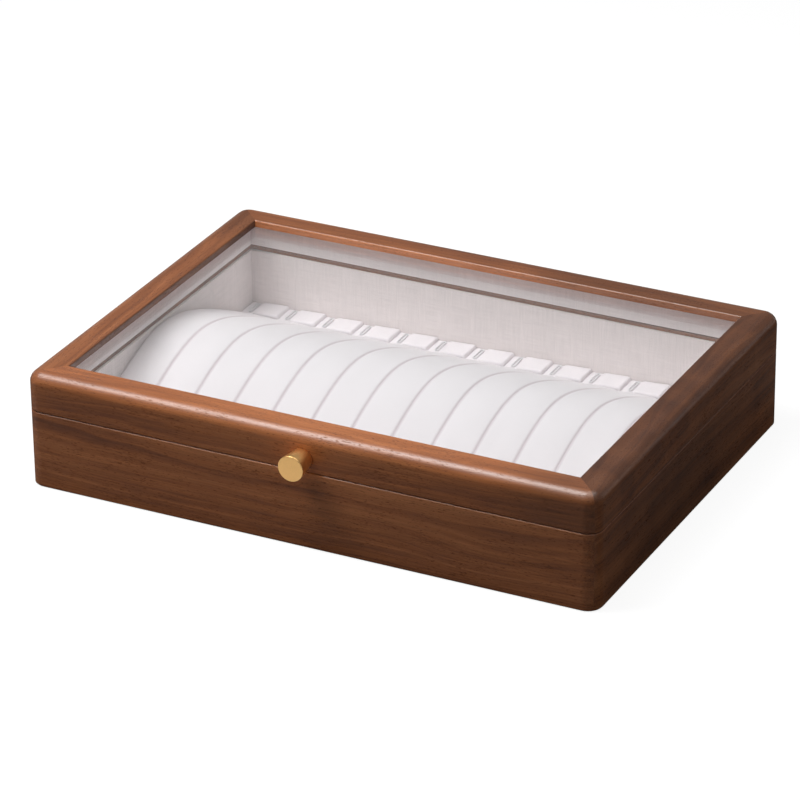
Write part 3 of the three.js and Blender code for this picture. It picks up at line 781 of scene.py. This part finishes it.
def make_clasp_rail(material):
    """The rail behind the pad, with a raised tab in each lane."""
    start = TAB_PITCH - TAB_WIDTH
    gap = [start * s for s in GAP_LINES]
    rise = [start + s * STEP_WIDTH for s in SIDE_LINES]
    middle = [start + TAB_WIDTH * s for s in TAB_LINES]
    drop = [TAB_PITCH - s * STEP_WIDTH for s in reversed(SIDE_LINES[1:])]
    local = [LANE_GAP, *gap, start - STEP_GAP, *rise, *middle, *drop, TAB_PITCH - LANE_GAP]
    xs = [RAIL_LOW.x + lane * TAB_PITCH + x for lane in range(LANES) for x in local]
    xs = [RAIL_LOW.x, *xs, RAIL_HIGH.x]
    fibre_tone_and_painted_light = RAIL_HIGH.y - RAIL_LOW.y
    ends = [s * TAB_ROUND for s in END_LINES]
    ys = [RAIL_LOW.y + e for e in ends]
    ys += [RAIL_LOW.y + fibre_tone_and_painted_light * s for s in DEPTH_LINES]
    ys += [RAIL_HIGH.y - e for e in reversed(ends)]
    points = [[(x, y, rail_height(x, y)) for x in xs] for y in ys]
    bm = closed_grid(points, RAIL_LOW.z, 0.0)
    shade_smooth(bm, CLOTH_CREASE)
    piece = add_piece("clasp_tabs", bm, material, "base", ["clasp_rail"])


def make_loops(material):
    """Closed rings of elastic cord, each two straight runs joined by half turns."""
    for lane in range(1, LANES + 1):
        node = f"clasp_loop_{lane:02d}"
        low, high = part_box(node)
        centre = (low + high) / 2
        bend = (high.x - low.x) / 2 - LOOP_CORD
        straight = (high.y - low.y) / 2 - LOOP_CORD - bend
        bm = bmesh.new()
        rings = []
        for end in (1, -1):
            for step in range(LOOP_BEND_STEPS + 1):
                angle = math.pi * step / LOOP_BEND_STEPS
                out = Vector((end * math.cos(angle), end * math.sin(angle), 0))
                point = centre + Vector((0, end * straight, 0)) + out * bend
                rings.append(cord_ring(bm, point, out))
        join_rings(bm, rings)
        for face in bm.faces:
            face.smooth = True
        add_piece(f"elastic_loop_{lane:02d}", bm, material, "base", [node])


def cord_ring(bm, point, out):
    """Vertices round the cord at a point of its centre line, whose outer side is given."""
    up = Vector((0, 0, 1))
    ring = []
    for side in range(LOOP_SIDES):
        angle = 2 * math.pi * side / LOOP_SIDES
        ring.append(bm.verts.new(point + LOOP_CORD * (math.cos(angle) * out + math.sin(angle) * up)))
    return ring


def join_rings(bm, rings):
    """Faces between each ring and the next, and from the last back to the first."""
    for i, ring in enumerate(rings):
        ahead = rings[(i + 1) % len(rings)]
        for side in range(len(ring)):
            after = (side + 1) % len(ring)
            bm.faces.new((ring[side], ahead[side], ahead[after], ring[after]))
    bmesh.ops.recalc_face_normals(bm, faces=bm.faces[:])


def knob_profile():
    """Radius and distance from the knob's back, from the screw hole round to the face."""
    length = KNOB_HIGH.y - KNOB_LOW.y
    face_radius = (KNOB_HIGH.x - KNOB_LOW.x) / 2
    turns = [math.pi / 2 * step / EDGE_STEPS for step in range(EDGE_STEPS + 1)]
    sines = [KNOB_EDGE * (1 - math.sin(turn)) for turn in turns]
    cosines = [KNOB_EDGE * (1 - math.cos(turn)) for turn in turns]
    points = [(0, KNOB_BORE_DEPTH), (KNOB_BORE_RADIUS, KNOB_BORE_DEPTH), (KNOB_BORE_RADIUS, 0)]
    points += [(KNOB_BACK_RADIUS - inset, rise) for inset, rise in zip(sines, cosines)]
    points += [(face_radius - inset, length - drop) for inset, drop in zip(cosines, sines)]
    points.append((0, length))
    return points


def make_knob(material):
    """The knob, spun from its profile round the axis of its screw."""
    centre_x = (KNOB_LOW.x + KNOB_HIGH.x) / 2
    centre_z = (KNOB_LOW.z + KNOB_HIGH.z) / 2
    bm = bmesh.new()
    chain = [bm.verts.new((centre_x + r, KNOB_HIGH.y - d, centre_z)) for r, d in knob_profile()]
    edges = [bm.edges.new(pair) for pair in zip(chain, chain[1:])]
    bmesh.ops.spin(
        bm,
        geom=chain + edges,
        cent=(centre_x, 0, centre_z),
        axis=(0, 1, 0),
        angle=2 * math.pi,
        steps=KNOB_SIDES,
        use_merge=True,
    )
    bmesh.ops.remove_doubles(bm, verts=bm.verts[:], dist=WELD)
    bmesh.ops.recalc_face_normals(bm, faces=bm.faces[:])
    shade_smooth(bm, BRASS_CREASE)
    add_piece("brass_knob", bm, material, "lid", ["knob"])


def dress_nodes(materials):
    """Gives the CAD nodes that stay in view their finish, with joined corners and rounded edges."""
    for node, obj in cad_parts.items():
        if obj.hide_render:
            continue
        kind = next(key for key in materials if node.startswith(key))
        material, slot, width = materials[kind]
        obj.data.materials.clear()
        obj.data.materials.append(material)
        weld = obj.modifiers.new("weld", "WELD")
        weld.merge_threshold = WELD
        if width:
            bevel = obj.modifiers.new("bevel", "BEVEL")
            bevel.width = width
            bevel.segments = NODE_STEPS
            bevel.limit_method = "ANGLE"
            bevel.angle_limit = math.radians(ROUNDED_ABOVE)


def softbox(name, direction, distance, size, power):
    """An area lamp that faces the object from a direction, out of the camera's sight."""
    lamp = bpy.data.lights.new(name, "AREA")
    lamp.shape = "RECTANGLE"
    lamp.size, lamp.size_y = size
    lamp.energy = power
    holder = bpy.data.objects.new(name, lamp)
    bpy.context.scene.collection.objects.link(holder)
    away = Vector(direction).normalized()
    holder.location = LAMP_AIM + away * distance
    holder.rotation_mode = "QUATERNION"
    holder.rotation_quaternion = away.to_track_quat("Z", "Y")
    holder.visible_camera = False


def make_light():
    """The lamps, and a world that is white for the camera and dim as light."""
    for name, values in LAMPS.items():
        softbox(name, *values)
    g = Graph(bpy.data.worlds.new("studio"), "ShaderNodeOutputWorld")
    path = g.node("ShaderNodeLightPath")
    direction = g.node("ShaderNodeTexCoord").outputs["Generated"]
    mirrored = g.ramp(g.axes(direction)[2], MIRRORED)
    colour = g.mix(path.outputs["Is Glossy Ray"], (*AMBIENT, 1), mirrored)
    colour = g.mix(seen_directly(path, g), colour, (1, 1, 1, 1))
    g.feed(g.output.inputs["Surface"], g.node("ShaderNodeBackground", {0: colour}).outputs[0])
    bpy.context.scene.world = g.owner


def make_floor():
    """A wide level floor just under the box."""
    bm = bmesh.new()
    bmesh.ops.create_grid(bm, x_segments=1, y_segments=1, size=FLOOR_REACH)
    mesh = bpy.data.meshes.new("floor")
    bm.to_mesh(mesh)
    bm.free()
    mesh.materials.append(floor_material())
    floor = bpy.data.objects.new("floor", mesh)
    floor.location.z = -FLOOR_DROP
    bpy.context.scene.collection.objects.link(floor)


def make_camera():
    """The photograph's camera: back from the middle of the box's foot, then right and up."""
    azimuth, elevation, roll = (math.radians(a) for a in (VIEW_AZIMUTH, VIEW_ELEVATION, VIEW_ROLL))
    reach = math.cos(elevation)
    back = Vector((math.sin(azimuth) * reach, -math.cos(azimuth) * reach, math.sin(elevation)))
    level = (-back).cross(Vector((0, 0, 1))).normalized()
    upright = level.cross(-back)
    right = math.cos(roll) * level + math.sin(roll) * upright
    up = -math.sin(roll) * level + math.cos(roll) * upright
    data = bpy.data.cameras.new("camera")
    data.sensor_width = SENSOR
    data.lens = FOCAL_PIXELS * SENSOR / PHOTO_SIDE
    data.clip_start = CLIP_NEAR
    data.clip_end = CLIP_FAR
    camera = bpy.data.objects.new("camera", data)
    place = back * VIEW_DISTANCE + right * VIEW_RIGHT + up * VIEW_UP
    camera.matrix_world = Matrix.Translation(place) @ Matrix((right, up, back)).transposed().to_4x4()
    bpy.context.scene.collection.objects.link(camera)
    bpy.context.scene.camera = camera


make_camera()
white_velvet = velvet("velvet", shade_grooves=False)
metals = {name: brushed(name, *values) for name, values in METALS.items()}
make_boards()
make_linings(linen())
make_pad(velvet("pad_velvet", shade_grooves=True))
make_clasp_rail(white_velvet)
make_loops(elastic())
make_knob(metals["knob_brass"])
# The start of each node's name, its material, its slot and how wide its edges are rounded
dress_nodes(
    {
        "glass_pane": (glass(), "glass", 0),
        "bottom_panel": (hardboard(), "bottom_board", 0.2 * MM),
        "insert_board": (white_velvet, "velvet", 0.3 * MM),
        "knob_screw": (metals["steel"], "steel", 0),
        "hinge": (metals["hinge_brass"], "hinge_brass", 0.12 * MM),
    }
)
make_light()
make_floor()
bpy.context.scene.view_settings.view_transform = "Standard"
